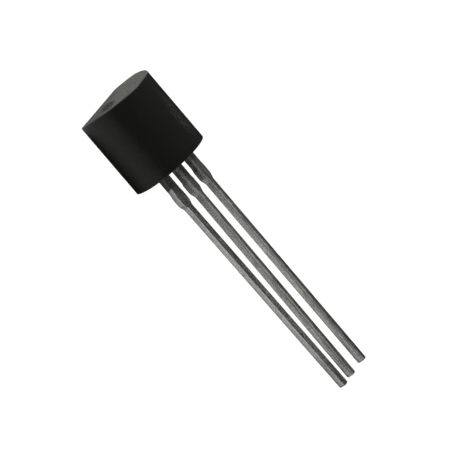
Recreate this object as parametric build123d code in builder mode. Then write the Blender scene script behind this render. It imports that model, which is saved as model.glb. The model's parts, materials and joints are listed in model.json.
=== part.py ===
from build123d import *

import math
import os

# Npn transistor in a small moulded package with three leads in line.
# It lies as it comes to rest: round side up, on the lower edge of its flat side and its three lead tips.
# All sizes are in millimetres.

# Moulded body: a round bar with one flat side, its leads in a row behind its axis
body_radius = 2.29
body_length = 4.58
axis_to_flat = 1.20
row_behind_axis = 0.29
top_draft = 2.3
bottom_draft = 0.7
rim_bevel = 0.06
corner_radius = 0.08

# Leads outside the body, stamped from one strip
lead_pitch = 1.27
lead_length = 14.47
lead_width = 0.38
lead_thickness = 0.41
coined_radius = 0.06
tip_radius = 0.10

# Wide stretch next to the body, with the stubs of the cut-off tie bar at its end
# The stubs stand out more on the collector's side of each lead, as the punch cut them
root_width = 0.58
long_stub_stand = 0.06
short_stub_stand = 0.02
stub_start = 1.05
stub_ramp = 0.20
stub_length = 0.52
shoulder_run = 0.32
shoulder_radius = 0.15

# How far each lead's tip stands off its own straight line, along the row
emitter_tip_drift = 0.01
base_tip_drift = -0.08
collector_tip_drift = 0.24

# Lead frame inside the body, measured up from the body's lower end
bar_depth = 0.60
post_depth = 0.40
frame_gap = 0.30
base_post_length = 0.90
base_post_width = 0.90
emitter_post_length = 1.20
emitter_post_width = 0.92
frame_overhang = 0.15
paddle_length = 1.80
frame_corner_radius = 0.06

# Hole and notches that key the lead frame into the moulding
lock_hole_radius = 0.22
lock_hole_inset = 0.50
lock_notch_radius = 0.12

# Silicon chip, soldered to the paddle on the side that faces the flat
chip_side = 0.50
chip_thickness = 0.20
chip_from_paddle_start = 0.75
chip_from_paddle_edge = 0.60
solder_margin = 0.05
solder_thickness = 0.03

# Bond wires from the chip's two contacts to the two posts
wire_diameter = 0.05
wire_sides = 12
contact_offset = 0.12
loop_height = 0.20
bond_diameter = 0.12
bond_height = 0.04
landing_inset = 0.25

# The flat and the back, measured from the plane of the leads
flat_drop = axis_to_flat + row_behind_axis
back_rise = body_radius - row_behind_axis
half_flat = math.sqrt(body_radius**2 - axis_to_flat**2)
top_slope = math.tan(math.radians(top_draft))
bottom_slope = math.tan(math.radians(bottom_draft))

# Rest: the bevelled lower edge of the flat and the rounded undersides of the lead tips are level
heel_along = -flat_drop * bottom_slope - rim_bevel
toe_along = lead_length - coined_radius
toe_lift = flat_drop - lead_thickness / 2 + coined_radius
heel_to_toe = math.hypot(toe_along - heel_along, toe_lift)
rest_tilt = math.asin(toe_lift / heel_to_toe) - math.asin(coined_radius / heel_to_toe)
rest_cos = math.cos(rest_tilt)
rest_sin = math.sin(rest_tilt)
row_height = flat_drop * rest_cos + heel_along * rest_sin

# The origin is on the ground under the middle of the part's whole length
reach_back = (body_length - flat_drop * top_slope) * rest_cos + flat_drop * rest_sin
reach_front = lead_length * rest_cos + lead_thickness / 2 * rest_sin
row_start = (reach_back - reach_front) / 2

# The leads run along this plane's first axis, from the body's lower end, and the round side is above it
lead_plane = Plane(
    origin=(row_start, 0, row_height),
    x_dir=(rest_cos, 0, -rest_sin),
    z_dir=(rest_sin, 0, rest_cos),
)
bottom_plane = Plane(origin=lead_plane.origin, x_dir=lead_plane.y_dir, z_dir=lead_plane.x_dir)
side_plane = Plane(origin=lead_plane.origin, x_dir=lead_plane.x_dir, z_dir=-lead_plane.y_dir)
frame_underside = lead_plane.offset(-lead_thickness / 2)
upward = Axis(lead_plane.origin, lead_plane.z_dir)

# Places along the leads
stub_top = stub_start + stub_ramp
shoulder_start = stub_top + stub_length
shoulder_end = shoulder_start + shoulder_run

# Places of the posts and the paddle
emitter_row = lead_pitch
collector_row = -lead_pitch
paddle_depth = post_depth + base_post_length + frame_gap
frame_edge = lead_pitch + root_width / 2 + frame_overhang
emitter_post_edge = frame_edge - emitter_post_width
paddle_edge = emitter_post_edge - frame_gap

# Places of the chip, its two contacts and where their wires land
chip_depth = paddle_depth + chip_from_paddle_start
chip_row = paddle_edge - chip_from_paddle_edge
chip_level = lead_thickness / 2 + solder_thickness
contact_level = chip_level + chip_thickness
emitter_contact = (-chip_depth - contact_offset, chip_row + contact_offset)
base_contact = (-chip_depth + contact_offset, chip_row - contact_offset)
emitter_landing = (emitter_contact[0], emitter_post_edge + landing_inset)
base_landing = (landing_inset - post_depth - base_post_length, 0)


def long_edge(row, drift, side):
    """Corners of one long edge of a lead, from inside the body to the tip."""
    root = side * root_width / 2
    stub = root + (short_stub_stand if side > 0 else -long_stub_stand)
    return [
        (-bar_depth, row + root),
        (stub_start, row + root),
        (stub_top, row + stub),
        (shoulder_start, row + stub),
        (shoulder_end, row + side * lead_width / 2),
        (lead_length, row + drift + side * lead_width / 2),
    ]


def lead_bar(row, drift):
    """Lead from just inside the body to its tip, with its corners coined round."""
    with BuildPart() as bar:
        with BuildSketch(frame_underside) as outline:
            with BuildLine():
                Polyline(*long_edge(row, drift, 1), *reversed(long_edge(row, drift, -1)), close=True)
            make_face()
            corners = outline.vertices().sort_by(Axis.X)
            fillet(corners[-2:], tip_radius)
            fillet(corners[2:-2], shoulder_radius)
        extrude(amount=lead_thickness)
        fillet(bar.faces().filter_by(upward).edges(), coined_radius)
    return bar.part


# Emitter lead, with a tall post beside the paddle
with BuildPart() as emitter_lead:
    add(lead_bar(emitter_row, emitter_tip_drift))
    with BuildSketch(frame_underside) as emitter_frame:
        with Locations((-post_depth, emitter_row)):
            Rectangle(paddle_depth - post_depth, root_width, align=(Align.MAX, Align.CENTER))
        with Locations((-paddle_depth, emitter_post_edge)):
            Rectangle(emitter_post_length, emitter_post_width, align=(Align.MAX, Align.MIN))
        fillet(emitter_frame.vertices().sort_by(Axis.X)[:-2], frame_corner_radius)
        with Locations((frame_gap - paddle_depth, emitter_row + root_width / 2)):
            Circle(lock_notch_radius, mode=Mode.SUBTRACT)
    extrude(amount=lead_thickness)

# Base lead, with a short post below the paddle
with BuildPart() as base_lead:
    add(lead_bar(0, base_tip_drift))
    with BuildSketch(frame_underside) as base_frame:
        with Locations((-post_depth, 0)):
            Rectangle(base_post_length, base_post_width, align=(Align.MAX, Align.CENTER))
        fillet(base_frame.vertices(), frame_corner_radius)
        with Locations(
            (-post_depth - base_post_length / 2, base_post_width / 2),
            (-post_depth - base_post_length / 2, -base_post_width / 2),
        ):
            Circle(lock_notch_radius, mode=Mode.SUBTRACT)
    extrude(amount=lead_thickness)

# Collector lead, one piece with the paddle that carries the chip
with BuildPart() as collector_lead:
    add(lead_bar(collector_row, collector_tip_drift))
    with BuildSketch(frame_underside) as collector_frame:
        with Locations((-post_depth, collector_row)):
            Rectangle(paddle_depth - post_depth, root_width, align=(Align.MAX, Align.CENTER))
        with Locations((-paddle_depth, -frame_edge)):
            Rectangle(paddle_length, paddle_edge + frame_edge, align=(Align.MAX, Align.MIN))
        fillet(collector_frame.vertices().sort_by(Axis.X)[:-2], frame_corner_radius)
        with Locations((frame_gap - paddle_depth, collector_row - root_width / 2)):
            Circle(lock_notch_radius, mode=Mode.SUBTRACT)
        with Locations((lock_hole_inset - paddle_depth - paddle_length, lock_hole_inset - frame_edge)):
            Circle(lock_hole_radius, mode=Mode.SUBTRACT)
    extrude(amount=lead_thickness)

# Solder layer, its foot spread wider than the chip
with BuildPart() as die_attach:
    with BuildSketch(frame_underside):
        with Locations((-chip_depth, chip_row)):
            Rectangle(chip_side + 2 * solder_margin, chip_side + 2 * solder_margin)
    with BuildSketch(lead_plane.offset(-chip_level)):
        with Locations((-chip_depth, chip_row)):
            Rectangle(chip_side, chip_side)
    loft()

# Silicon chip
with BuildPart() as chip:
    with BuildSketch(lead_plane.offset(-contact_level)):
        with Locations((-chip_depth, chip_row)):
            Rectangle(chip_side, chip_side)
    extrude(amount=chip_thickness)


def bond_wire(contact, landing):
    """Wire in one low arc, from a flattened ball on the chip to a flattened foot on a post."""
    foot_level = -lead_thickness / 2 - bond_height / 2
    ball_level = -contact_level - bond_height / 2
    middle = ((contact[0] + landing[0]) / 2, (contact[1] + landing[1]) / 2)
    with BuildPart() as wire:
        with BuildLine(lead_plane) as arc:
            ThreePointArc((*contact, ball_level), (*middle, ball_level - loop_height), (*landing, foot_level))
        with BuildSketch(Plane(arc.line @ 0, z_dir=arc.line % 0)):
            RegularPolygon(wire_diameter / 2, wire_sides)
        sweep()
        with BuildSketch(lead_plane.offset(-contact_level)):
            with Locations(contact):
                Circle(bond_diameter / 2)
        extrude(amount=-bond_height)
        with BuildSketch(frame_underside):
            with Locations(landing):
                Circle(bond_diameter / 2)
        extrude(amount=-bond_height)
    return wire.part


with BuildPart() as emitter_wire:
    add(bond_wire(emitter_contact, emitter_landing))

with BuildPart() as base_wire:
    add(bond_wire(base_contact, base_landing))

inner_pieces = [
    emitter_lead,
    base_lead,
    collector_lead,
    die_attach,
    chip,
    emitter_wire,
    base_wire,
]

# Moulded body, closed round the lead frame, the chip and the wires
with BuildPart() as case:
    with BuildSketch(bottom_plane) as section:
        with BuildLine():
            flat = Line((half_flat, -flat_drop), (-half_flat, -flat_drop))
            ThreePointArc(flat @ 1, (0, back_rise), flat @ 0)
        make_face()
        fillet(section.vertices(), corner_radius)
    extrude(amount=-body_length)
    # Both ends stand highest at the mould's parting line, in the plane of the leads
    with BuildSketch(side_plane):
        with BuildLine():
            Polyline(
                (0, 0),
                (-back_rise * bottom_slope, back_rise),
                (back_rise * top_slope - body_length, back_rise),
                (-body_length, 0),
                (flat_drop * top_slope - body_length, -flat_drop),
                (-flat_drop * bottom_slope, -flat_drop),
                close=True,
            )
        make_face()
    extrude(amount=body_radius, both=True, mode=Mode.INTERSECT)
    end_faces = case.faces().filter_by(lambda face: abs(face.normal_at().dot(lead_plane.x_dir)) > 0.5)
    parting_edges = case.edges().filter_by(Axis.Y).filter_by(lambda edge: edge.length > 2 * half_flat)
    chamfer(end_faces.edges() - parting_edges, rim_bevel)
    for piece in inner_pieces:
        add(piece.part, mode=Mode.SUBTRACT)

os.makedirs("parts", exist_ok=True)

case.part.label = "case"
export_step(case.part, "parts/case.step")

emitter_lead.part.label = "emitter_lead"
export_step(emitter_lead.part, "parts/emitter_lead.step")

base_lead.part.label = "base_lead"
export_step(base_lead.part, "parts/base_lead.step")

collector_lead.part.label = "collector_lead"
export_step(collector_lead.part, "parts/collector_lead.step")

die_attach.part.label = "die_attach"
export_step(die_attach.part, "parts/die_attach.step")

chip.part.label = "chip"
export_step(chip.part, "parts/chip.step")

emitter_wire.part.label = "emitter_wire"
export_step(emitter_wire.part, "parts/emitter_wire.step")

base_wire.part.label = "base_wire"
export_step(base_wire.part, "parts/base_wire.step")
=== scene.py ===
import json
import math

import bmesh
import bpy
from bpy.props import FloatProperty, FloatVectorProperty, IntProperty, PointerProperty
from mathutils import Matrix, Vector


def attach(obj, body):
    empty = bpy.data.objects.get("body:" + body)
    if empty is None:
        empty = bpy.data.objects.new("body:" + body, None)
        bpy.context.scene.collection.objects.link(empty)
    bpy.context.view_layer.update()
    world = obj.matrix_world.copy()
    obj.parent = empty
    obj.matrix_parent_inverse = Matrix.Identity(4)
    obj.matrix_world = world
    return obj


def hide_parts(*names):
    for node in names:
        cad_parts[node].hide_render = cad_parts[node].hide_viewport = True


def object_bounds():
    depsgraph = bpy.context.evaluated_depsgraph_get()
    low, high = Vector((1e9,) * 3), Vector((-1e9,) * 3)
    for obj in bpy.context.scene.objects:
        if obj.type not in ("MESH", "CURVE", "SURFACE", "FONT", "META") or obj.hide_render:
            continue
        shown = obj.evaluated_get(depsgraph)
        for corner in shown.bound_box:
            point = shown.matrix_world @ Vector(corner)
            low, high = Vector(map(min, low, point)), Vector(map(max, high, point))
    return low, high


bl_info = {
    "name": "Npn Transistor",
    "version": (1, 0, 0),
    "blender": (4, 5, 0),
    "location": "View3D > Sidebar > Transistor",
    "description": "Builds the look of a small moulded transistor round its packed frame",
    "category": "Add Mesh",
}

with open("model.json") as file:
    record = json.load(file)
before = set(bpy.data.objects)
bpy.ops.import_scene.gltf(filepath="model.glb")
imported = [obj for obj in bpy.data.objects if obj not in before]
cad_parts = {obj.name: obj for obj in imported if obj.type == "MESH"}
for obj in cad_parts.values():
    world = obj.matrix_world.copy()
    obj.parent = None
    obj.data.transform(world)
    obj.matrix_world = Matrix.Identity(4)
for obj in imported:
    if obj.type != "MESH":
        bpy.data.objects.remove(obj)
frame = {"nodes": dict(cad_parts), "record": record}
CAD_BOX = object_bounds()
MM = 0.001

# The two mounts say how the part lies: the flat faces down, and the leads run down to their tips
MOUNTS = {mount["name"]: mount for mount in frame["record"]["mounts"]}
ALONG = Vector(MOUNTS["lead_tips"]["axis"]).normalized()
UP = -Vector(MOUNTS["body_flat"]["axis"]).normalized()
ROW = UP.cross(ALONG)
TIPS = Vector(MOUNTS["lead_tips"]["pos_m"])


def reach(node, axis):
    """Lowest and highest place of a node along an axis, measured from the lead tips."""
    places = [(vertex.co - TIPS).dot(axis) for vertex in frame["nodes"][node].data.vertices]
    return min(places), max(places)


def extent(node, axis):
    """Size of a node along an axis."""
    low, high = reach(node, axis)
    return high - low


BODY_LENGTH = extent("case", ALONG)
BODY_RADIUS = extent("case", ROW) / 2
FLAT_DROP = -reach("case", UP)[0]
LEAD_LENGTH = -reach("case", ALONG)[1]
LEAD_THICKNESS = extent("base_lead", UP)

# Pieces are made in their own space and then placed: first axis from the body's lower end along the
# leads, second along the row, third out of the round side
START = TIPS - LEAD_LENGTH * ALONG
PLACE = Matrix((ALONG, ROW, UP)).transposed().to_4x4()
PLACE.translation = START

# Name of the attribute that says where a point of a lead lies across it, from -1 to 1
ACROSS = "across"

# Patterns in the epoxy, in waves to the millimetre
GRAIN_WAVES = 11.0
COARSE_WAVES = 9.0
MOTTLE_WAVES = 1.6
FILLER_WAVES = 26.0
FLECK_WAVES = 7.0
SMEAR_WAVES = 1.2
SCRATCH_WAVES = 24.0

# Patterns in the tin, in waves to the millimetre
STREAK_WAVES = 8.0
BLOTCH_WAVES = 2.6
PLATING_WAVES = 12.0
RIPPLE_WAVES = 2.2

# How many waves a drawn-out pattern has along the leads for each wave across them
SCRATCH_DRAW = 0.3
STREAK_DRAW = 0.12

# Rows of points across the parting line, as shares of its half width, and the share that stands out
SEAM_ROWS = (-1.0, -0.4, 0.0, 0.4, 1.0)
SEAM_TOP = 0.5

# Points round a lead's section and round each of its coined corners
SECTION_POINTS = 48
CORNER_POINTS = 7

# How much closer together the sections of a lead stand towards its tip, 1 being evenly spaced
CROWDING = 1.3

# Share of its size that the coined bar has inside the square-edged frame, so that no faces coincide
BURIED_SIZE = 0.99

# Points of a solid's loose triangles that are closer than this are one point
MERGE_DISTANCE = 0.0001 * MM


def length(name, description, default):
    """A size that a user may change, in metres."""
    return FloatProperty(
        name=name, description=description, default=default, unit="LENGTH", subtype="DISTANCE",
        precision=6,
    )


def angle(name, description, degrees):
    """An angle that a user may change."""
    turn = math.radians(degrees)
    return FloatProperty(name=name, description=description, default=turn, subtype="ANGLE")


def colour(name, description, default):
    """A colour that a user may change."""
    return FloatVectorProperty(
        name=name, description=description, default=default, subtype="COLOR", size=3, min=0.0, max=1.0,
    )


def share(name, description, default):
    """A plain number that a user may change."""
    return FloatProperty(name=name, description=description, default=default, min=0.0)


def count(name, description, default, least):
    """A whole number that a user may change."""
    return IntProperty(name=name, description=description, default=default, min=least)


class MouldingSettings(bpy.types.PropertyGroup):
    """Sizes and finish of the moulded body."""

    axis_to_flat: length("Axis to Flat", "From the round side's axis to the flat", 1.20 * MM)
    corner_radius: length("Corner Radius", "Where the round side meets the flat", 0.08 * MM)
    rim_radius: length("Rim Radius", "Rounding of both end rims", 0.06 * MM)
    seam_height: length("Seam Height", "How far the mould's parting line stands out", 0.003 * MM)
    seam_width: length("Seam Width", "Width of the mould's parting line", 0.05 * MM)
    top_draft: angle("Top Draft", "Slope of the top end", 2.3)
    bottom_draft: angle("Bottom Draft", "Slope of the lower end", 0.7)
    flat_columns: count("Flat Columns", "Faces across the flat", 28, 2)
    corner_steps: count("Corner Steps", "Faces round each corner of the flat", 6, 1)
    arc_steps: count("Arc Steps", "Faces round half the round side", 56, 8)
    rim_steps: count("Rim Steps", "Faces round each rim", 5, 1)
    body_rows: count("Body Rows", "Faces along the body", 36, 1)
    sharp_edge: angle("Sharp Edge", "Edges that turn more than this stay sharp", 50)

    gate_row: length("Gate Row", "Place of the broken mould gate across the top end", -1.08 * MM)
    gate_rise: length("Gate Rise", "Place of the broken mould gate above the parting line", 0.10 * MM)
    gate_width: length("Gate Width", "Width of the gate's slanting mark", 1.05 * MM)
    gate_length: length("Gate Length", "Length of the gate's slanting mark", 1.80 * MM)
    scuff_start: length("Scuff Start", "From the top end to the scuffed patch", 0.90 * MM)
    scuff_length: length("Scuff Length", "Length of the scuffed patch", 3.40 * MM)
    scuff_row: length("Scuff Row", "Place of the scuffed patch across the round side", 0.65 * MM)
    scuff_width: length("Scuff Width", "Width of the scuffed patch", 1.20 * MM)

    tint: colour("Epoxy", "Colour of the black epoxy", (0.0148, 0.0152, 0.0128))
    filler: colour("Filler", "Colour of the grains of filler at the surface", (0.045, 0.045, 0.040))
    # The end faces' colour and filler are partly their own matte finish and partly a painted sheen for
    # the light the ends catch
    end_tint_and_sheen: colour("End Face", "Colour of the duller end faces", (0.034, 0.0345, 0.029))
    end_filler_and_sheen: colour("End Filler", "Colour of the filler in the end faces", (0.142, 0.144, 0.119))
    # The rims' lighter colour is a painted highlight along the rims as well as rubbing
    rim_highlight_and_wear: colour("Rim", "Colour of the rubbed rims", (0.085, 0.085, 0.076))
    scuff_tint: colour("Scuff", "Colour of the scuffs", (0.130, 0.130, 0.120))
    gloss: share("Gloss", "Strength of the epoxy's mirror reflection", 0.38)
    smooth: share("Smooth", "Roughness of the smoothest patches", 0.27)
    rough: share("Rough", "Roughness of the roughest patches", 0.33)
    end_roughness: share("End Roughness", "Roughness that the ends have more than the sides", 0.22)
    mark_roughness: share("Mark Roughness", "Roughness that the gate and the scuffs add", 0.30)
    relief: length("Relief", "Height of the moulded grain", 0.012 * MM)
    relief_strength: share("Relief Strength", "How much of the grain's height shows", 0.6)
    end_relief: share("End Relief", "Height of the grain on the ends, against the sides", 2.5)
    gate_relief: share("Gate Relief", "Height of the grain on the broken gate, against the sides", 14.0)


class LeadSettings(bpy.types.PropertyGroup):
    """Sizes and finish of the leads."""

    width: length("Width", "Width of a lead", 0.38 * MM)
    edge_radius: length("Edge Radius", "Rounding of the coined edges", 0.06 * MM)
    tip_radius: length("Tip Radius", "Rounding of the tip's corners, seen on its wide face", 0.10 * MM)
    root_width: length("Root Width", "Width next to the body", 0.58 * MM)
    long_stub: length("Long Stub", "Stand of a cut tie bar's stub on the collector's side", 0.06 * MM)
    short_stub: length("Short Stub", "Stand of a cut tie bar's stub on the other side", 0.02 * MM)
    stub_start: length("Stub Start", "From the body to the stubs", 1.05 * MM)
    stub_ramp: length("Stub Ramp", "Length over which a stub rises", 0.20 * MM)
    stub_length: length("Stub Length", "Length of a stub", 0.52 * MM)
    shoulder_run: length("Shoulder Run", "Length over which the root narrows", 0.32 * MM)
    frame_depth: length("Frame Depth", "Depth where the square-edged inner frame starts", 0.45 * MM)
    bar_depth: length("Bar Depth", "Depth to which the coined bar runs into the frame", 0.55 * MM)
    ripple_height: length("Ripple Height", "Height of the ripples in the tin", 0.006 * MM)
    stations: count("Stations", "Sections along a lead", 420, 20)
    sharp_edge: angle("Sharp Edge", "Edges that turn more than this stay sharp", 40)

    # Painted shade next to the body: where it fades on the sides and on the upper faces, and where it
    # ends on the emitter's upper face
    side_root_shade_start: length("Side Stain Start", "Where the sides' stain starts to fade", 0.6 * MM)
    side_root_shade_end: length("Side Stain End", "Where the sides' stain ends", 1.9 * MM)
    top_root_shade_start: length("Top Stain Start", "Where the upper faces' stain starts to fade", 0.9 * MM)
    top_root_shade_end: length("Top Stain End", "Where the upper faces' stain ends", 4.2 * MM)
    far_root_shade_end: length("Far Stain End", "Where the emitter lead's upper stain ends", 7.5 * MM)
    # Painted shade on the collector's upper face, which clears along the lead
    collector_shade_start: length("Dull Start", "Where the collector's dull upper face starts to clear", 6.0 * MM)
    collector_shade_end: length("Dull End", "Where the collector's upper face is clearest", 9.0 * MM)
    tip_stain_start: length("Tip Stain Start", "From the tip to where its stain starts", 2.8 * MM)
    tip_stain_full: length("Tip Stain Full", "From the tip to where its stain is full", 1.2 * MM)
    # Painted shade right next to the body: where it breaks up and where it ends
    contact_shade_start: length("Film Start", "Where the resin film starts to break up", 0.45 * MM)
    contact_shade_end: length("Film End", "Where the resin film ends", 0.60 * MM)

    tin: colour("Tin", "Colour of the tin plating", (0.97, 0.97, 0.93))
    # The plating's colour where it is stained and where painted shade darkens it
    stain_and_shade_tin: colour("Dull Tin", "Colour of the plating where it is stained", (0.30, 0.30, 0.28))
    # Colour of the painted shade right next to the body
    resin: colour("Resin Bleed", "Colour of the resin film next to the body", (0.06, 0.06, 0.055))
    smooth: share("Smooth", "Roughness of the smooth streaks", 0.36)
    rough: share("Rough", "Roughness of the rough streaks", 0.66)
    dull_polish: share("Dull Polish", "How much smoother the collector's dull upper face is", 0.12)
    side_polish: share("Side Polish", "How much smoother the sheared sides are", 0.20)
    relief: length("Relief", "Height of the plating's grain", 0.010 * MM)
    relief_strength: share("Relief Strength", "How much of the grain's height shows", 0.5)


class InsideSettings(bpy.types.PropertyGroup):
    """Finish of what the moulding closes in."""

    silicon: colour("Silicon", "Colour of the chip", (0.16, 0.17, 0.20))
    solder: colour("Solder", "Colour of the solder under the chip", (0.50, 0.50, 0.49))
    bond_gold: colour("Bond Gold", "Colour of the bond wires", (0.85, 0.60, 0.22))
    dark_share: share("Dark Share", "Brightness of the mottled patches, against the colour", 0.7)


class StageSettings(bpy.types.PropertyGroup):
    """Camera, floor and lights."""

    azimuth: angle("Azimuth", "Camera's turn round the part", -9.083)
    elevation: angle("Elevation", "Camera's height", 42.052)
    roll: angle("Roll", "Camera's turn about its own view", 51.864)
    aim: FloatVectorProperty(
        name="Aim", description="Point in the middle of the picture", size=3, unit="LENGTH",
        default=(-0.411 * MM, 0.182 * MM, 0.930 * MM), precision=6,
    )
    distance: length("Distance", "From the camera to the aim", 275.8 * MM)
    lens: FloatProperty(name="Lens", description="Focal length in millimetres", default=422.17, min=1.0)
    floor_radius: length("Floor Radius", "Radius of the floor", 3.0)
    floor_corners: count("Floor Corners", "Corners of the round floor", 96, 3)
    floor_tint: colour("Floor", "Colour of the floor", (0.90, 0.90, 0.90))
    sheet_drop: length("Sheet Drop", "From the floor down to the white sheet", 0.05 * MM)
    card_gap: length("Card Gap", "From the part to the black card beyond it", 0.10 * MM)
    card_size: length("Card Size", "How far the black card reaches", 300 * MM)
    card_lap: length("Card Lap", "How far the card starts past the body's lower end", 1.0 * MM)
    card_spread: share("Card Spread", "Slant of the card's side on the leads' side, to its size", 0.35)
    card_lift: length("Card Lift", "From the floor up to the card", 0.004 * MM)
    card_tint: colour("Card", "Colour of the card, which shows only in reflections", (0.02, 0.02, 0.02))
    paper_roughness: share("Paper Roughness", "Roughness of the floor and the sheets", 0.9)
    paper_gloss: share("Paper Gloss", "Strength of their mirror reflection", 0.2)
    room_light: share("Room Light", "Brightness of the room round the part", 0.08)
    key_power: share("Key Power", "Power of the main light in watts", 0.158)
    key_azimuth: angle("Key Azimuth", "Main light's turn round the part", 243)
    key_elevation: angle("Key Elevation", "Main light's height", 45)
    key_distance: length("Key Distance", "From the part to the main light", 150 * MM)
    key_size: length("Key Size", "Side of the main light's square sheet", 100 * MM)
    front_power: share("Front Power", "Power of the low light in front in watts", 0.06)
    front_distance: length("Front Distance", "From the part to the low light in front", 400 * MM)
    front_width: length("Front Width", "Width of the low light in front", 800 * MM)
    front_height: length("Front Height", "Height of the low light in front", 85 * MM)


def put(tree, kind, inputs=None, **settings):
    """Adds a node to a tree, with its own settings, and fills or links its inputs."""
    node = tree.nodes.new(kind)
    for name, value in settings.items():
        setattr(node, name, value)
    for socket, value in (inputs or {}).items():
        fill(tree, node.inputs[socket], value)
    return node


def fill(tree, socket, value):
    """Links a result to a socket, or sets the socket's own value."""
    if isinstance(value, bpy.types.NodeSocket):
        tree.links.new(value, socket)
    else:
        socket.default_value = value


def calc(tree, operation, *values):
    """Adds a math node and returns its result."""
    return put(tree, "ShaderNodeMath", dict(enumerate(values)), operation=operation).outputs[0]


def product(tree, first, *others):
    """The product of several results."""
    for other in others:
        first = calc(tree, "MULTIPLY", first, other)
    return first


def largest(tree, first, *others):
    """The largest of several results."""
    for other in others:
        first = calc(tree, "MAXIMUM", first, other)
    return first


def ramp(tree, value, start, end, low=0.0, high=1.0):
    """Goes from low at start to high at end, and stays there."""
    inputs = {"Value": value, "From Min": start, "From Max": end, "To Min": low, "To Max": high}
    return put(tree, "ShaderNodeMapRange", inputs).outputs["Result"]


def fade(tree, value, start, end, high=1.0):
    """Goes from high at start to nothing at end, and stays there."""
    return ramp(tree, value, start, end, high, 0.0)


def between(tree, factor, low, high):
    """Goes from low to high as a factor goes from 0 to 1."""
    return ramp(tree, factor, 0.0, 1.0, low, high)


def mix(tree, factor, first, second, kind="RGBA"):
    """Mixes two colours, or two numbers if the kind is FLOAT."""
    node = put(tree, "ShaderNodeMix", data_type=kind)
    for name, value in (("Factor", factor), ("A", first), ("B", second)):
        socket = next(socket for socket in node.inputs if socket.name == name and socket.enabled)
        fill(tree, socket, value)
    return next(socket for socket in node.outputs if socket.enabled)


def rgba(tint):
    """A colour property as a node's colour."""
    return (*tint, 1.0)


def new_material(name):
    """An empty node material with its shader, and the part's own place in millimetres as a vector."""
    made = bpy.data.materials.new(name)
    made.use_nodes = True
    tree = made.node_tree
    tree.nodes.clear()
    shader = put(tree, "ShaderNodeBsdfPrincipled")
    put(tree, "ShaderNodeOutputMaterial", {"Surface": shader.outputs["BSDF"]})
    place = put(tree, "ShaderNodeTexCoord").outputs["Object"]
    return made, tree, shader, scaled(tree, place, 1 / MM)


def vector(tree, along, across=0.0, up=0.0):
    """A vector from its three parts."""
    return put(tree, "ShaderNodeCombineXYZ", {"X": along, "Y": across, "Z": up}).outputs["Vector"]


def scaled(tree, place, scale):
    """A vector times a number."""
    return put(tree, "ShaderNodeVectorMath", {0: place, "Scale": scale}, operation="SCALE").outputs[0]


def dot(tree, place, axis):
    """A vector's length along an axis."""
    inputs = {0: place, 1: axis}
    return put(tree, "ShaderNodeVectorMath", inputs, operation="DOT_PRODUCT").outputs["Value"]


def noise(tree, place, waves, detail=2.0, roughness=0.5, seed=0.0):
    """Soft noise, in waves to the unit of its place."""
    inputs = {"Vector": place, "W": seed, "Scale": waves, "Detail": detail, "Roughness": roughness}
    return put(tree, "ShaderNodeTexNoise", inputs, noise_dimensions="4D").outputs["Fac"]


def lead_place(tree, in_mm):
    """A point's place along the leads, across the row and up, in millimetres from the body's end."""
    axes = (ALONG, ROW, UP)
    return [calc(tree, "SUBTRACT", dot(tree, in_mm, axis), START.dot(axis) / MM) for axis in axes]


def drawn_out(tree, parts, draw):
    """Place for noise that is drawn out along the leads, for streaks."""
    along, across, up = parts
    return vector(tree, calc(tree, "MULTIPLY", along, draw), across, up)


def spot(tree, parts, middle, halves):
    """One inside an ellipsoid, fading to nothing at its surface. Its place and size are in metres."""
    squares = 0.0
    for part, centre, half in zip(parts, middle, halves):
        away = calc(tree, "DIVIDE", calc(tree, "SUBTRACT", part, centre / MM), half / MM)
        squares = calc(tree, "MULTIPLY_ADD", away, away, squares)
    return fade(tree, squares, 0.3, 1.0)


def facing(tree, axis):
    """How squarely the surface faces along an axis."""
    return dot(tree, put(tree, "ShaderNodeNewGeometry").outputs["Normal"], axis)


def raise_grain(tree, shader, height, distance, strength):
    """Gives a shader the relief of a pattern."""
    inputs = {"Height": height, "Distance": distance, "Strength": strength}
    bump = put(tree, "ShaderNodeBump", inputs)
    fill(tree, shader.inputs["Normal"], bump.outputs["Normal"])


def end_colour_and_sheen(tree, settings, parts, grain, coarse):
    """Colour of the end faces, lighter partly as a painted sheen of the light they catch: filler shows
    through, less of it low down and on the collector's side.
    """
    _, across, up = parts
    filled = ramp(tree, calc(tree, "MULTIPLY_ADD", coarse, 2.0, grain), 1.18, 1.82)
    slant = calc(tree, "MULTIPLY_ADD", across, 0.35, up)
    filled = product(tree, filled, ramp(tree, slant, -0.70, 0.20, low=0.10))
    return mix(tree, filled, rgba(settings.end_tint_and_sheen), rgba(settings.end_filler_and_sheen))


def gate_mark(tree, settings, parts, turned, coarse):
    """Where the mould gate broke off: a slanting mark on the top end, ragged inside."""
    # The mark slants at 45 degrees, so it is placed by the sum and the difference of rise and row
    along, across, up = parts
    slanted = (along, calc(tree, "ADD", up, across), calc(tree, "SUBTRACT", up, across))
    rise, row = settings.gate_rise, settings.gate_row
    middle = (-BODY_LENGTH, rise + row, rise - row)
    diagonal = math.sqrt(0.5)
    halves = (settings.gate_width, diagonal * settings.gate_width, diagonal * settings.gate_length)
    ragged = ramp(tree, coarse, 0.42, 0.56, low=0.35)
    on_top_end = fade(tree, turned, -0.97, -0.80)
    return product(tree, spot(tree, slanted, middle, halves), ragged, on_top_end)


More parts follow.
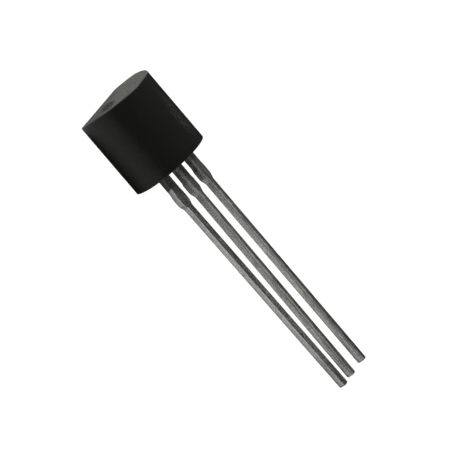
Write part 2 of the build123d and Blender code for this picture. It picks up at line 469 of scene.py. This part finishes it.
def scuff_marks(tree, settings, parts, in_mm):
    """Where the crest is scuffed: a patch of fine flecks, uneven and lightly scratched."""
    half_length = settings.scuff_length / 2
    middle = (settings.scuff_start - BODY_LENGTH + half_length, settings.scuff_row, BODY_RADIUS)
    halves = (half_length, settings.scuff_width / 2, BODY_RADIUS)
    flecks = noise(tree, in_mm, FLECK_WAVES, roughness=0.6, seed=11.0)
    smear = noise(tree, in_mm, SMEAR_WAVES, detail=1.0, seed=13.0)
    scratch = noise(tree, drawn_out(tree, parts, SCRATCH_DRAW), SCRATCH_WAVES, roughness=0.6, seed=8.0)
    return product(
        tree, spot(tree, parts, middle, halves), ramp(tree, smear, 0.38, 0.60, low=0.25),
        ramp(tree, flecks, 0.42, 0.66), ramp(tree, scratch, 0.40, 0.60, low=0.15, high=0.60),
    )


def epoxy_material(settings):
    """Black moulded epoxy: grain, filler, dull ends lightened partly by a painted sheen, rims lightened
    by a painted highlight as well as rubbing, a broken gate and a scuffed crest.
    """
    made, tree, shader, in_mm = new_material("black_epoxy")
    parts = lead_place(tree, in_mm)
    grain = noise(tree, in_mm, GRAIN_WAVES, detail=3.0)
    coarse = noise(tree, in_mm, COARSE_WAVES, detail=3.0, roughness=0.6, seed=4.0)
    mottle = noise(tree, in_mm, MOTTLE_WAVES, detail=4.0, seed=2.0)
    specks = noise(tree, in_mm, FILLER_WAVES, detail=1.0, seed=5.0)
    turned = facing(tree, ALONG)
    away = calc(tree, "ABSOLUTE", turned)
    end = ramp(tree, away, 0.80, 0.97)
    # The rims carry a painted highlight as well as rubbing
    rim = product(tree, ramp(tree, away, 0.15, 0.45), fade(tree, away, 0.85, 0.97, high=0.7))
    gate = gate_mark(tree, settings, parts, turned, coarse)
    scuff = scuff_marks(tree, settings, parts, in_mm)

    speck = ramp(tree, specks, 0.56, 0.72, high=0.35)
    side_tint = mix(tree, speck, rgba(settings.tint), rgba(settings.filler))
    # The end faces' lighter colour is partly a painted sheen of the light they catch
    tint = mix(tree, end, side_tint, end_colour_and_sheen(tree, settings, parts, grain, coarse))
    # Painted highlight and rubbing along the rims
    tint = mix(tree, rim, tint, rgba(settings.rim_highlight_and_wear))
    tint = mix(tree, gate, tint, rgba(settings.tint))
    fill(tree, shader.inputs["Base Color"], mix(tree, scuff, tint, rgba(settings.scuff_tint)))

    shader.inputs["Specular IOR Level"].default_value = settings.gloss
    rough = ramp(tree, mottle, 0.3, 0.7, settings.smooth, settings.rough)
    rough = calc(tree, "MULTIPLY_ADD", end, settings.end_roughness, rough)
    rough = calc(tree, "MULTIPLY_ADD", largest(tree, gate, scuff), settings.mark_roughness, rough)
    fill(tree, shader.inputs["Roughness"], rough)

    uneven = calc(tree, "MULTIPLY_ADD", coarse, 1.5, grain)
    end_relief = between(tree, gate, settings.end_relief, settings.gate_relief)
    relief = product(tree, uneven, between(tree, end, 1.0, end_relief))
    raise_grain(tree, shader, relief, settings.relief, settings.relief_strength)
    return made


def tin_look(tree, parts, in_mm):
    """The tin's patterns, how each face is turned and which lead it is on, by name."""
    rise = facing(tree, UP)
    across = parts[1]
    collector = fade(tree, across, -0.8, -0.6)
    streaks = drawn_out(tree, parts, STREAK_DRAW)
    return {
        "streak": noise(tree, streaks, STREAK_WAVES, detail=3.0, roughness=0.65, seed=1.0),
        "mottle": noise(tree, in_mm, BLOTCH_WAVES, detail=5.0, roughness=0.7),
        "grain": noise(tree, in_mm, PLATING_WAVES, seed=3.0),
        "rise": rise,
        "upper": ramp(tree, rise, 0.35, 0.75),
        "side": ramp(tree, calc(tree, "ABSOLUTE", facing(tree, ROW)), 0.5, 0.9),
        "collector": collector,
        "others": calc(tree, "SUBTRACT", 1.0, collector),
    }


def root_shade(tree, settings, parts, look):
    """Painted shade next to the body: short on the sides, long on the upper faces, longest on the
    emitter's, mottled.
    """
    along, across, _ = parts
    side_start, side_end = settings.side_root_shade_start / MM, settings.side_root_shade_end / MM
    on_side = product(tree, fade(tree, along, side_start, side_end, high=0.45), look["others"])
    heavy = ramp(tree, across, -1.2, 1.0, low=0.20)
    top_end = ramp(tree, across, 0.5, 0.9, settings.top_root_shade_end / MM, settings.far_root_shade_end / MM)
    on_top = fade(tree, along, settings.top_root_shade_start / MM, top_end, high=heavy)
    root = mix(tree, look["upper"], on_side, on_top, kind="FLOAT")
    return product(tree, root, ramp(tree, look["mottle"], 0.35, 0.60, low=0.75))


def blotch_stain(tree, look):
    """Blotches all over, fainter on the sides."""
    blotch = calc(tree, "ADD", look["streak"], product(tree, look["mottle"], 0.6))
    return ramp(tree, blotch, 0.74, 0.98, high=between(tree, look["side"], 0.6, 0.3))


def edge_shade(tree, look, breadth):
    """Painted shade on the far sides and the undersides, and a painted dark reflection along the far edge
    of the upper faces.
    """
    far_side_shade = ramp(tree, facing(tree, ROW), 0.15, 0.60, high=0.8)
    far_edge_shade = product(tree, look["upper"], look["others"], ramp(tree, breadth, -0.75, 0.35))
    under = fade(tree, look["rise"], -0.70, -0.15, high=0.75)
    return far_side_shade, far_edge_shade, under


def body_contact_shade(tree, settings, parts, look):
    """Painted shade right next to the body, broken up like a film, heaviest on the outer side of the
    collector lead.
    """
    edge = calc(tree, "ADD", parts[0], product(tree, look["mottle"], -0.5))
    outer = product(tree, look["side"], look["collector"])
    thin = between(tree, outer, 0.0, 0.85)
    thick = between(tree, outer, 0.35, 0.97)
    near_body = fade(tree, edge, settings.contact_shade_start / MM, settings.contact_shade_end / MM)
    return product(tree, near_body, ramp(tree, look["grain"], 0.42, 0.58, thin, thick))


def tin_material(settings):
    """Tin plating: streaked and grainy, with painted shade next to the body, on the far sides, undersides
    and far edges and on the collector's top, a painted highlight along the near edge, and stained tips.
    """
    made, tree, shader, in_mm = new_material("tin_plating")
    parts = lead_place(tree, in_mm)
    along = parts[0]
    breadth = put(tree, "ShaderNodeAttribute", attribute_name=ACROSS).outputs["Fac"]
    look = tin_look(tree, parts, in_mm)
    upper, side, streak, grain = look["upper"], look["side"], look["streak"], look["grain"]

    # The deepest of the stains and painted shades counts at each place, the grain and the tips add to it,
    # and a painted highlight clears the near edge
    # Painted shade on the collector's upper face, clearing along the lead; the same face is also made
    # smoother
    clearing = ramp(tree, along, settings.collector_shade_start / MM, settings.collector_shade_end / MM, low=0.55, high=0.25)
    collector_top_shade = product(tree, upper, look["collector"], clearing)
    root = root_shade(tree, settings, parts, look)
    stain = largest(tree, root, collector_top_shade, blotch_stain(tree, look), *edge_shade(tree, look, breadth))
    speckle = ramp(tree, grain, 0.38, 0.62, high=between(tree, upper, 0.45, 0.90))
    tip_start = (LEAD_LENGTH - settings.tip_stain_start) / MM
    tip_full = (LEAD_LENGTH - settings.tip_stain_full) / MM
    tip = ramp(tree, along, tip_start, tip_full, high=0.14)
    # Painted highlight along the near edge of the upper faces, taken out of the stain and shade
    near_edge_highlight = fade(tree, breadth, -1.0, -0.3, high=0.95)
    near_edge_highlight = product(tree, ramp(tree, look["rise"], 0.10, 0.40), near_edge_highlight, look["others"])
    stain = calc(tree, "ADD", calc(tree, "ADD", stain, speckle), calc(tree, "SUBTRACT", tip, near_edge_highlight))
    stain.node.use_clamp = True
    plated = mix(tree, stain, rgba(settings.tin), rgba(settings.stain_and_shade_tin))
    # Painted shade right next to the body
    contact_shaded = mix(tree, body_contact_shade(tree, settings, parts, look), plated, rgba(settings.resin))
    fill(tree, shader.inputs["Base Color"], contact_shaded)

    shader.inputs["Metallic"].default_value = 1.0
    rough = ramp(tree, streak, 0.36, 0.62, settings.smooth, settings.rough)
    rough = calc(tree, "MULTIPLY_ADD", collector_top_shade, -settings.dull_polish, rough)
    rough = calc(tree, "MULTIPLY_ADD", side, -settings.side_polish, rough)
    fill(tree, shader.inputs["Roughness"], rough)
    raise_grain(tree, shader, calc(tree, "ADD", grain, streak), settings.relief, settings.relief_strength)
    return made


def inside_material(settings, name, metallic, roughness, waves):
    """Finish of a small piece inside the moulding, in the colour of the same name."""
    made, tree, shader, in_mm = new_material(name)
    mottle = noise(tree, in_mm, waves, detail=3.0)
    tint = getattr(settings, name)
    darker = [settings.dark_share * part for part in tint]
    fill(tree, shader.inputs["Base Color"], mix(tree, mottle, rgba(darker), rgba(tint)))
    shader.inputs["Metallic"].default_value = metallic
    fill(tree, shader.inputs["Roughness"], ramp(tree, mottle, 0.3, 0.7, roughness, roughness + 0.1))
    return made


def new_piece(name, mesh, slot, *replaced):
    """Puts a finished mesh on the part's one body, in place of the solids that it stands for."""
    piece = bpy.data.objects.new(name, mesh)
    bpy.context.scene.collection.objects.link(piece)
    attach(piece, "root")
    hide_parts(*replaced)
    return piece


def finish_shading(mesh, sharp_edge):
    """Shades a mesh smooth and keeps the edges that turn more than an angle."""
    mesh.shade_smooth()
    mesh.set_sharp_from_angle(angle=sharp_edge)


def arc_point(centre_row, centre_up, radius, turn, stand=0.0):
    """A point on an arc in the body's section, standing out a little, and its normal."""
    normal = Vector((0, math.cos(turn), math.sin(turn)))
    return Vector((0, centre_row, centre_up)) + (radius + stand) * normal, normal


def half_outline(settings):
    """Points of the right half of the body's section and their normals, from the flat up to the crest."""
    axis = settings.axis_to_flat - FLAT_DROP
    corner_up = settings.corner_radius - FLAT_DROP
    corner_out = math.sqrt((BODY_RADIUS - settings.corner_radius) ** 2 - (corner_up - axis) ** 2)
    quarter = math.pi / 2
    corner_end = math.atan2(corner_up - axis, corner_out)
    corner_step = (corner_end + quarter) / settings.corner_steps
    points = [
        arc_point(corner_out, corner_up, settings.corner_radius, corner_step * step - quarter)
        for step in range(settings.corner_steps)
    ]

    # A third of the steps lie below the parting line
    seam_middle = math.asin(-axis / BODY_RADIUS)
    seam_half = settings.seam_width / 2 / BODY_RADIUS
    seam_start, seam_end = seam_middle - seam_half, seam_middle + seam_half
    low_step = (seam_start - corner_end) / (settings.arc_steps / 3)
    low_steps = settings.arc_steps // 3
    high_steps = settings.arc_steps - low_steps
    high_step = (quarter - seam_end) / high_steps
    turns = [corner_end + low_step * step for step in range(low_steps)]
    turns += [seam_middle + seam_half * row for row in SEAM_ROWS]
    turns += [seam_end + high_step * step for step in range(1, high_steps + 1)]
    for turn in turns:
        on_seam = abs(turn - seam_middle) < SEAM_TOP * seam_half
        points.append(arc_point(0, axis, BODY_RADIUS, turn, settings.seam_height if on_seam else 0.0))
    return points


def cap_end(net, loop, columns, half_count):
    """Closes an end of the body with level rows of faces, from the flat up to the crest."""
    right_side = loop[columns - 1:columns - 1 + half_count]
    left_side = [loop[-1 - step] for step in range(half_count - 1)]
    crest = right_side[-1]
    below = [left_side[0]] + loop[:columns - 1] + [right_side[0]]
    for first, last in zip(left_side[1:], right_side[1:-1]):
        row = [first]
        for column in range(1, columns):
            row.append(net.verts.new(first.co.lerp(last.co, column / columns)))
        row.append(last)
        for column in range(columns):
            net.faces.new((below[column], below[column + 1], row[column + 1], row[column]))
        below = row
    for column in range(columns):
        net.faces.new((below[column], below[column + 1], crest))


def moulding_mesh(settings):
    """The moulded body as one closed mesh, with both ends drafted from the parting line."""
    half = half_outline(settings)
    columns = settings.flat_columns
    corner = half[0][0]
    down = Vector((0, 0, -1))
    flat_rows = [corner.y * (2 * step / columns - 1) for step in range(1, columns)]
    flat = [(Vector((0, row, corner.z)), down) for row in flat_rows]
    mirror = Matrix.Scale(-1, 4, (0, 1, 0))
    left = [(mirror @ point, mirror @ normal) for point, normal in half[-2::-1]]
    outline = flat + half + left
    net = bmesh.new()

    def end_ring(turn, end, draft, inward):
        """One ring of an end's rounded rim, a turn of 90 degrees being its widest."""
        inset = settings.rim_radius * (1 - math.sin(turn))
        depth = settings.rim_radius * (1 - math.cos(turn))
        ring = []
        for point, normal in outline:
            inner = point - inset * normal
            inner.x = end + inward * (abs(inner.z) * math.tan(draft) + depth)
            ring.append(net.verts.new(inner))
        return ring

    turns = [math.pi / 2 * step / settings.rim_steps for step in range(settings.rim_steps + 1)]
    top = [end_ring(turn, -BODY_LENGTH, settings.top_draft, 1) for turn in turns]
    lower = [end_ring(turn, 0.0, settings.bottom_draft, -1) for turn in reversed(turns)]
    between_ends = []
    for row in range(1, settings.body_rows):
        blend = row / settings.body_rows
        ring = [net.verts.new(first.co.lerp(last.co, blend)) for first, last in zip(top[-1], lower[0])]
        between_ends.append(ring)
    rings = top + between_ends + lower
    around = len(outline)
    for first, second in zip(rings, rings[1:]):
        for step in range(around):
            following = (step + 1) % around
            net.faces.new((first[step], second[step], second[following], first[following]))
    for loop in (rings[0], rings[-1]):
        cap_end(net, loop, columns, len(half))

    bmesh.ops.recalc_face_normals(net, faces=net.faces)
    mesh = bpy.data.meshes.new("moulded_body")
    net.to_mesh(mesh)
    net.free()
    mesh.transform(PLACE)
    return mesh


class TRANSISTOR_OT_moulding(bpy.types.Operator):
    """Build the moulded body"""

    bl_idname = "transistor.moulding"
    bl_label = "Moulded Body"

    def execute(self, context):
        settings = context.scene.transistor_moulding
        mesh = moulding_mesh(settings)
        mesh.materials.append(epoxy_material(settings))
        finish_shading(mesh, settings.sharp_edge)
        new_piece("moulded_body", mesh, "moulding", "case")
        return {"FINISHED"}


def width_rule(tree, size, along, across):
    """Where a point of the bar stands across the lead, its section's shift, and its side from -1 to 1.

    The root is wide, the cut stubs stand out of it, and shoulders lead down to the narrow leg.
    """
    flat_half = calc(tree, "SUBTRACT", product(tree, size["Width"], 0.5), size["Edge Radius"])
    inputs = {"Value": calc(tree, "DIVIDE", across, flat_half), "Min": -1.0, "Max": 1.0}
    side = put(tree, "ShaderNodeClamp", inputs).outputs[0]
    stub_end = calc(tree, "ADD", size["Stub Start"], size["Stub Ramp"])
    shoulder = calc(tree, "ADD", stub_end, size["Stub Length"])
    shoulder_end = calc(tree, "ADD", shoulder, size["Shoulder Run"])
    wider = product(tree, calc(tree, "SUBTRACT", size["Root Width"], size["Width"]), 0.5)
    stand = ramp(tree, side, -1.0, 1.0, size["Long Stub"], size["Short Stub"])
    stub = product(tree, stand, ramp(tree, along, size["Stub Start"], stub_end))
    leg = fade(tree, along, shoulder, shoulder_end)
    extra = product(tree, calc(tree, "ADD", wider, stub), leg)
    drift = product(tree, size["Tip Drift"], ramp(tree, along, shoulder_end, size["Length"]))
    wide = calc(tree, "MULTIPLY_ADD", extra, side, across)
    return wide, calc(tree, "ADD", drift, size["Row Place"]), side


def rounded_end(tree, size, along, radius, thickness):
    """Share of its full size that a section keeps where the tip rounds off."""
    start = calc(tree, "SUBTRACT", size["Length"], radius)
    past = calc(tree, "MAXIMUM", calc(tree, "SUBTRACT", along, start), 0.0)
    squares = calc(tree, "SUBTRACT", product(tree, radius, radius), product(tree, past, past))
    inset = calc(tree, "SUBTRACT", radius, calc(tree, "SQRT", calc(tree, "MAXIMUM", squares, 0.0)))
    return calc(tree, "SUBTRACT", 1.0, calc(tree, "DIVIDE", inset, product(tree, thickness, 0.5)))


def moved(tree, shape, **how):
    """A shape with its points moved, to a Position or by an Offset."""
    return put(tree, "GeometryNodeSetPosition", {"Geometry": shape, **how}).outputs["Geometry"]


def bar_line(tree, size):
    """The line that the bar follows, from inside the frame to the tip."""
    line = put(tree, "GeometryNodeCurvePrimitiveLine", {"End": (1.0, 0.0, 0.0)}).outputs["Curve"]
    inputs = {"Curve": line, "Count": size["Stations"]}
    line = put(tree, "GeometryNodeResampleCurve", inputs).outputs["Curve"]
    factor = put(tree, "GeometryNodeSplineParameter").outputs["Factor"]
    left = calc(tree, "POWER", calc(tree, "SUBTRACT", 1.0, factor), CROWDING)
    whole = calc(tree, "ADD", size["Length"], size["Bar Depth"])
    station = calc(tree, "SUBTRACT", size["Length"], product(tree, left, whole))
    return moved(tree, line, Position=vector(tree, station))


def bar_section(tree, size):
    """The bar's section: a rectangle with coined corners."""
    inputs = {"Width": size["Width"], "Height": size["Thickness"]}
    section = put(tree, "GeometryNodeCurvePrimitiveQuadrilateral", inputs).outputs["Curve"]
    inputs = {"Curve": section, "Count": CORNER_POINTS, "Radius": size["Edge Radius"]}
    section = put(tree, "GeometryNodeFilletCurve", inputs, mode="POLY").outputs["Curve"]
    inputs = {"Curve": section, "Count": SECTION_POINTS}
    return put(tree, "GeometryNodeResampleCurve", inputs).outputs["Curve"]


def shaped(tree, size, bar, parts):
    """The bar with each section's width, place and tip, which follow from its place along the lead."""
    along, across, up = parts
    wide, shift, side = width_rule(tree, size, along, across)
    inputs = {"Geometry": bar, "Name": ACROSS, "Value": side}
    bar = put(tree, "GeometryNodeStoreNamedAttribute", inputs, data_type="FLOAT").outputs["Geometry"]
    buried = product(tree, size["Frame Depth"], -1.0)
    clear = calc(tree, "ADD", buried, product(tree, size["Edge Radius"], 0.5))
    slip = ramp(tree, along, buried, clear, low=BURIED_SIZE)
    wide = product(tree, wide, rounded_end(tree, size, along, size["Tip Radius"], size["Width"]))
    high = product(tree, up, rounded_end(tree, size, along, size["Edge Radius"], size["Thickness"]))
    wide = calc(tree, "MULTIPLY_ADD", wide, slip, shift)
    return moved(tree, bar, Position=vector(tree, along, wide, product(tree, high, slip)))


def rippled(tree, size, bar, place, along):
    """The bar with ripples in its tin, outside the body only."""
    pattern = noise(tree, scaled(tree, place, 1 / MM), RIPPLE_WAVES, detail=3.0, seed=size["Seed"])
    # The noise swings by half to each side of its middle, so it is doubled
    wave = calc(tree, "SUBTRACT", pattern, 0.5)
    outside = ramp(tree, along, 0.0, size["Width"], high=2.0)
    height = product(tree, wave, size["Ripple Height"], outside)
    normal = put(tree, "GeometryNodeInputNormal").outputs["Normal"]
    return moved(tree, bar, Offset=scaled(tree, normal, height))


LEAD_SIZES = (
    "Length", "Bar Depth", "Frame Depth", "Width", "Thickness", "Edge Radius", "Tip Radius", "Root Width",
    "Long Stub", "Short Stub", "Stub Start", "Stub Ramp", "Stub Length", "Shoulder Run", "Row Place",
    "Tip Drift", "Ripple Height",
)


def lead_tree():
    """Node tree that joins a lead's coined bar, with its rippled tin skin, to its inner frame."""
    tree = bpy.data.node_groups.new("stamped_lead", "GeometryNodeTree")
    face = tree.interface
    face.new_socket("Geometry", in_out="INPUT", socket_type="NodeSocketGeometry")
    for name in LEAD_SIZES:
        face.new_socket(name, in_out="INPUT", socket_type="NodeSocketFloat").subtype = "DISTANCE"
    face.new_socket("Stations", in_out="INPUT", socket_type="NodeSocketInt")
    face.new_socket("Seed", in_out="INPUT", socket_type="NodeSocketFloat")
    face.new_socket("Finish", in_out="INPUT", socket_type="NodeSocketMaterial")
    face.new_socket("Geometry", in_out="OUTPUT", socket_type="NodeSocketGeometry")
    size = put(tree, "NodeGroupInput").outputs

    inputs = {"Curve": bar_line(tree, size), "Profile Curve": bar_section(tree, size), "Fill Caps": True}
    bar = put(tree, "GeometryNodeCurveToMesh", inputs).outputs["Mesh"]
    place = put(tree, "GeometryNodeInputPosition").outputs["Position"]
    parts = put(tree, "ShaderNodeSeparateXYZ", {"Vector": place}).outputs
    bar = shaped(tree, size, bar, parts)
    bar = rippled(tree, size, bar, place, parts["X"])

    # A union takes all its meshes through one socket
    weld = put(tree, "GeometryNodeMeshBoolean", operation="UNION", solver="EXACT")
    tree.links.new(size["Geometry"], weld.inputs[1])
    tree.links.new(bar, weld.inputs[1])
    whole = put(tree, "GeometryNodeRealizeInstances", {"Geometry": weld.outputs["Mesh"]}).outputs[0]
    inputs = {"Geometry": whole, "Material": size["Finish"]}
    finished = put(tree, "GeometryNodeSetMaterial", inputs).outputs["Geometry"]
    put(tree, "NodeGroupOutput", {"Geometry": finished})
    return tree


def spread(node, low, high):
    """Lowest and highest place across the row of a lead's vertices between two places along it."""
    inside = [PLACE.inverted() @ vertex.co for vertex in frame["nodes"][node].data.vertices]
    across = [point.y for point in inside if low <= point.x <= high]
    return min(across), max(across)


def inner_frame(node, depth):
    """A merged copy of a lead's solid, cut off where its square-edged frame starts inside the body."""
    net = bmesh.new()
    net.from_mesh(frame["nodes"][node].data)
    net.transform(PLACE.inverted())
    bmesh.ops.remove_doubles(net, verts=net.verts, dist=MERGE_DISTANCE)
    cut = bmesh.ops.bisect_plane(
        net, geom=net.verts[:] + net.edges[:] + net.faces[:], plane_co=(-depth, 0, 0), plane_no=(1, 0, 0),
        clear_outer=True,
    )
    rim = [item for item in cut["geom_cut"] if isinstance(item, bmesh.types.BMEdge)]
    bmesh.ops.edgeloop_fill(net, edges=rim)
    bmesh.ops.recalc_face_normals(net, faces=net.faces)
    mesh = bpy.data.meshes.new(node)
    net.to_mesh(mesh)
    net.free()
    return mesh


def grown(name, mesh, tree, values):
    """Runs a node tree on a mesh and returns the result as a plain mesh."""
    holder = bpy.data.objects.new(name, mesh)
    bpy.context.scene.collection.objects.link(holder)
    modifier = holder.modifiers.new(tree.name, "NODES")
    modifier.node_group = tree
    for socket in tree.interface.items_tree:
        if socket.in_out == "INPUT" and socket.name in values:
            modifier[socket.identifier] = values[socket.name]
    bpy.context.view_layer.update()
    evaluated = holder.evaluated_get(bpy.context.evaluated_depsgraph_get())
    result = bpy.data.meshes.new_from_object(evaluated)
    bpy.data.objects.remove(holder)
    if not result.polygons:
        raise RuntimeError(f"the node tree made nothing of {name}")
    return result


class TRANSISTOR_OT_leads(bpy.types.Operator):
    """Build the three leads"""

    bl_idname = "transistor.leads"
    bl_label = "Leads"

    def execute(self, context):
        settings = context.scene.transistor_leads
        tree = lead_tree()
        tin = tin_material(settings)
        for seed, node in enumerate(("collector_lead", "base_lead", "emitter_lead")):
            root = spread(node, -settings.frame_depth, 0.0)
            tip = spread(node, LEAD_LENGTH - settings.tip_radius, LEAD_LENGTH)
            measured = {
                "length": LEAD_LENGTH, "thickness": LEAD_THICKNESS, "seed": float(seed), "finish": tin,
                "row_place": sum(root) / 2, "tip_drift": (sum(tip) - sum(root)) / 2,
            }
            values = {}
            for name in (*LEAD_SIZES, "Stations", "Seed", "Finish"):
                key = name.lower().replace(" ", "_")
                values[name] = measured[key] if key in measured else getattr(settings, key)
            mesh = grown(f"tinned_{node}", inner_frame(node, settings.frame_depth), tree, values)
            mesh.transform(PLACE)
            finish_shading(mesh, settings.sharp_edge)
            new_piece(f"tinned_{node}", mesh, "tinned_lead", node)
        return {"FINISHED"}


class TRANSISTOR_OT_inside(bpy.types.Operator):
    """Finish the chip, its solder and the bond wires"""

    bl_idname = "transistor.inside"
    bl_label = "Chip and Wires"

    def execute(self, context):
        settings = context.scene.transistor_inside
        silicon = inside_material(settings, "silicon", metallic=0.6, roughness=0.12, waves=3.0)
        solder = inside_material(settings, "solder", metallic=1.0, roughness=0.35, waves=8.0)
        gold = inside_material(settings, "bond_gold", metallic=1.0, roughness=0.22, waves=12.0)
        finishes = {"chip": silicon, "die_attach": solder, "emitter_wire": gold, "base_wire": gold}
        for node, finish in finishes.items():
            for slot in frame["nodes"][node].material_slots:
                slot.material = finish
        return {"FINISHED"}


def outward(azimuth, elevation):
    """Unit vector from the part towards a camera or light at an azimuth and height."""
    flat = math.cos(elevation)
    return Vector((math.sin(azimuth) * flat, -math.cos(azimuth) * flat, math.sin(elevation)))


def soft_light(name, back, distance, width, height, power):
    """A soft rectangular light, aimed at the part."""
    light = bpy.data.lights.new(name, "AREA")
    light.shape = "RECTANGLE"
    light.size = width
    light.size_y = height
    light.energy = power
    lamp = bpy.data.objects.new(name, light)
    lamp.location = (CAD_BOX[0] + CAD_BOX[1]) / 2 + distance * back
    lamp.rotation_euler = back.to_track_quat("Z", "Y").to_euler()
    bpy.context.scene.collection.objects.link(lamp)


def disc_outline(radius, corners):
    """Corners of a round sheet."""
    turns = [2 * math.pi * step / corners for step in range(corners)]
    return [(radius * math.cos(turn), radius * math.sin(turn)) for turn in turns]


def card_outline(settings):
    """Corners of a sheet that lies beyond the body and widens away from it, past the leads' far side."""
    end, near = CAD_BOX[0][0], CAD_BOX[1][1] + settings.card_gap
    past = START.x + settings.card_lap
    size = settings.card_size
    return [(end, near), (past, near), (past + settings.card_spread * size, size), (end, size)]


def flat_sheet(name, settings, outline, height, tint, glow, *unseen):
    """A flat sheet of paper, part of the stage, that some kinds of ray don't see."""
    net = bmesh.new()
    net.faces.new([net.verts.new((*corner, height)) for corner in outline])
    mesh = bpy.data.meshes.new(name)
    net.to_mesh(mesh)
    net.free()
    made, _, shader, _ = new_material(f"{name}_paper")
    shader.inputs["Base Color"].default_value = rgba(tint)
    shader.inputs["Roughness"].default_value = settings.paper_roughness
    shader.inputs["Specular IOR Level"].default_value = settings.paper_gloss
    shader.inputs["Emission Color"].default_value = (1.0, 1.0, 1.0, 1.0)
    shader.inputs["Emission Strength"].default_value = glow
    mesh.materials.append(made)
    sheet = bpy.data.objects.new(name, mesh)
    bpy.context.scene.collection.objects.link(sheet)
    for ray in unseen:
        setattr(sheet, f"visible_{ray}", False)


def lay_floor(settings):
    """The pale floor, the white sheet that the camera sees in its place, and the black card."""
    floor = disc_outline(settings.floor_radius, settings.floor_corners)
    card = card_outline(settings)
    pale, black = settings.floor_tint, settings.card_tint
    other_rays = ("diffuse", "transmission", "volume_scatter", "shadow")
    flat_sheet("floor", settings, floor, 0.0, pale, 0.0, "camera")
    flat_sheet("white_sheet", settings, floor, -settings.sheet_drop, pale, 1.0, "glossy", *other_rays)
    flat_sheet("black_card", settings, card, settings.card_lift, black, 0.0, "camera", *other_rays)


def light_room(settings):
    """The room's faint light, the main light and the low light in front."""
    world = bpy.data.worlds.new("studio")
    world.use_nodes = True
    room = world.node_tree.nodes["Background"]
    room.inputs["Color"].default_value = (1.0, 1.0, 1.0, 1.0)
    room.inputs["Strength"].default_value = settings.room_light
    bpy.context.scene.world = world
    side = settings.key_size
    key = outward(settings.key_azimuth, settings.key_elevation)
    soft_light("key_light", key, settings.key_distance, side, side, settings.key_power)
    width, height = settings.front_width, settings.front_height
    front = outward(0.0, math.atan2(height / 2, settings.front_distance))
    soft_light("front_light", front, settings.front_distance, width, height, settings.front_power)


def aim_camera(settings):
    """The camera, at the photograph's viewing angle."""
    eye = bpy.data.cameras.new("camera")
    eye.lens = settings.lens
    camera = bpy.data.objects.new("camera", eye)
    back = outward(settings.azimuth, settings.elevation)
    level = Vector((math.cos(settings.azimuth), math.sin(settings.azimuth), 0))
    right = math.cos(settings.roll) * level + math.sin(settings.roll) * back.cross(level)
    pose = Matrix((right, back.cross(right), back)).transposed().to_4x4()
    pose.translation = Vector(settings.aim) + settings.distance * back
    camera.matrix_world = pose
    bpy.context.scene.collection.objects.link(camera)
    bpy.context.scene.camera = camera


class TRANSISTOR_OT_stage(bpy.types.Operator):
    """Add the floor, the lights and the camera"""

    bl_idname = "transistor.stage"
    bl_label = "Stage"

    def execute(self, context):
        settings = context.scene.transistor_stage
        lay_floor(settings)
        light_room(settings)
        aim_camera(settings)
        context.scene.view_settings.view_transform = "Standard"
        return {"FINISHED"}


# Each step's settings on the scene, and its operator
STEPS = {
    "transistor_moulding": (MouldingSettings, TRANSISTOR_OT_moulding),
    "transistor_leads": (LeadSettings, TRANSISTOR_OT_leads),
    "transistor_inside": (InsideSettings, TRANSISTOR_OT_inside),
    "transistor_stage": (StageSettings, TRANSISTOR_OT_stage),
}


class TRANSISTOR_PT_panel(bpy.types.Panel):
    """Lists the steps that build the transistor."""

    bl_idname = "TRANSISTOR_PT_panel"
    bl_label = "Npn Transistor"
    bl_space_type = "VIEW_3D"
    bl_region_type = "UI"
    bl_category = "Transistor"

    def draw(self, context):
        for name, (group, operator) in STEPS.items():
            box = self.layout.box()
            for setting in group.__annotations__:
                box.prop(getattr(context.scene, name), setting)
            box.operator(operator.bl_idname)


def register():
    for name, (group, operator) in STEPS.items():
        bpy.utils.register_class(group)
        bpy.utils.register_class(operator)
        setattr(bpy.types.Scene, name, PointerProperty(type=group))
    bpy.utils.register_class(TRANSISTOR_PT_panel)


def unregister():
    bpy.utils.unregister_class(TRANSISTOR_PT_panel)
    for name, (group, operator) in reversed(STEPS.items()):
        delattr(bpy.types.Scene, name)
        bpy.utils.unregister_class(operator)
        bpy.utils.unregister_class(group)


def main():
    """Builds every piece and the stage in order."""
    register()
    bpy.ops.transistor.moulding()
    bpy.ops.transistor.leads()
    bpy.ops.transistor.inside()
    bpy.ops.transistor.stage()


if __name__ == "__main__":
    main()
